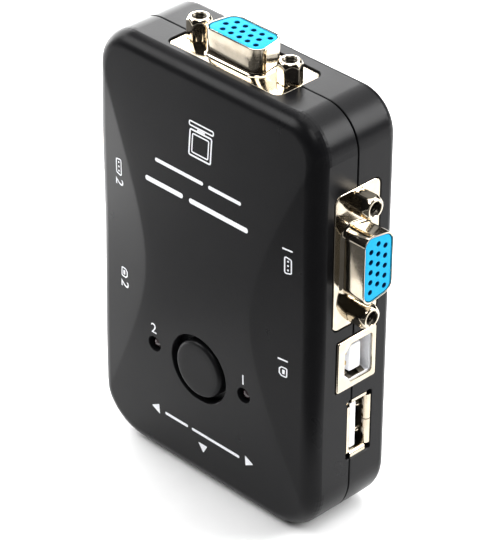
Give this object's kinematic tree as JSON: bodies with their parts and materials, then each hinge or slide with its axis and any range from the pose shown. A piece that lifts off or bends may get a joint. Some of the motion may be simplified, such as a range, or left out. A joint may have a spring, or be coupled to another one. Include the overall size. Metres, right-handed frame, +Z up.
{
  "type": "kvm switch",
  "caption": "KVM switch box standing on its short end: sprung front push button, status lamps, and VGA, USB-B and USB-A sockets round its edges.",
  "frame": {"origin": "centre of the footprint at the bottom edge, the box standing on its short end", "axes": "+Z up the face towards the monitor socket, -Y out of the front face, +X towards the first computer's sockets"},
  "size_m": [0.0744, 0.024, 0.1024],
  "materials": {
    "black_plastic": "fine satin texture",
    "button_plastic": "satin",
    "nickel": "bright warm nickel plating",
    "blue_plastic": "satin moulded insulator",
    "white_plastic": "satin moulded insulator",
    "housing_plastic": "matt moulded",
    "board": "solder-masked glass laminate",
    "spring_steel": "drawn wire",
    "led_lens": "clear tinted epoxy lens",
    "screw_steel": "zinc plated",
    "chip_epoxy": "moulded epoxy",
    "can_metal": "plated can",
    "capacitor_sleeve": "shrink sleeve"
  },
  "bodies": {
    "case": {"front_cover": "black_plastic", "back_cover": "black_plastic", "case_screw_1": "screw_steel", "case_screw_2": "screw_steel", "case_screw_3": "screw_steel", "case_screw_4": "screw_steel", "circuit_board": "board", "hub_chip": "chip_epoxy", "usb_switch_chip": "chip_epoxy", "video_switch_chip_1": "chip_epoxy", "video_switch_chip_2": "chip_epoxy", "crystal": "can_metal", "capacitor_1": "capacitor_sleeve", "capacitor_2": "capacitor_sleeve", "led_port_1": "led_lens", "led_port_2": "led_lens", "switch_body": "housing_plastic", "switch_spring": "spring_steel", "vga_monitor_shell": "nickel", "vga_monitor_insulator": "blue_plastic", "vga_monitor_rear_housing": "housing_plastic", "vga_monitor_jackscrew_1": "nickel", "vga_monitor_jackscrew_2": "nickel", "vga_port_1_shell": "nickel", "vga_port_1_insulator": "blue_plastic", "vga_port_1_rear_housing": "housing_plastic", "vga_port_1_jackscrew_1": "nickel", "vga_port_1_jackscrew_2": "nickel", "vga_port_2_shell": "nickel", "vga_port_2_insulator": "blue_plastic", "vga_port_2_rear_housing": "housing_plastic", "vga_port_2_jackscrew_1": "nickel", "vga_port_2_jackscrew_2": "nickel", "usb_b_port_1_shell": "nickel", "usb_b_port_1_insulator": "white_plastic", "usb_b_port_2_shell": "nickel", "usb_b_port_2_insulator": "white_plastic", "usb_a_bottom_shell": "nickel", "usb_a_bottom_insulator": "white_plastic", "usb_a_port_1_shell": "nickel", "usb_a_port_1_insulator": "white_plastic", "usb_a_port_2_shell": "nickel", "usb_a_port_2_insulator": "white_plastic"},
    "button": {"button_cap": "button_plastic", "switch_plunger": "white_plastic"}
  },
  "joints": [
    {"name": "button_press", "type": "slide", "parent": "case", "child": "button", "axis": [0, 1, 0], "range_m": [0, 0.0015], "stiffness_N_per_m": 350, "springref_m": -0.001, "deforming": ["switch_spring"]}
  ]
}
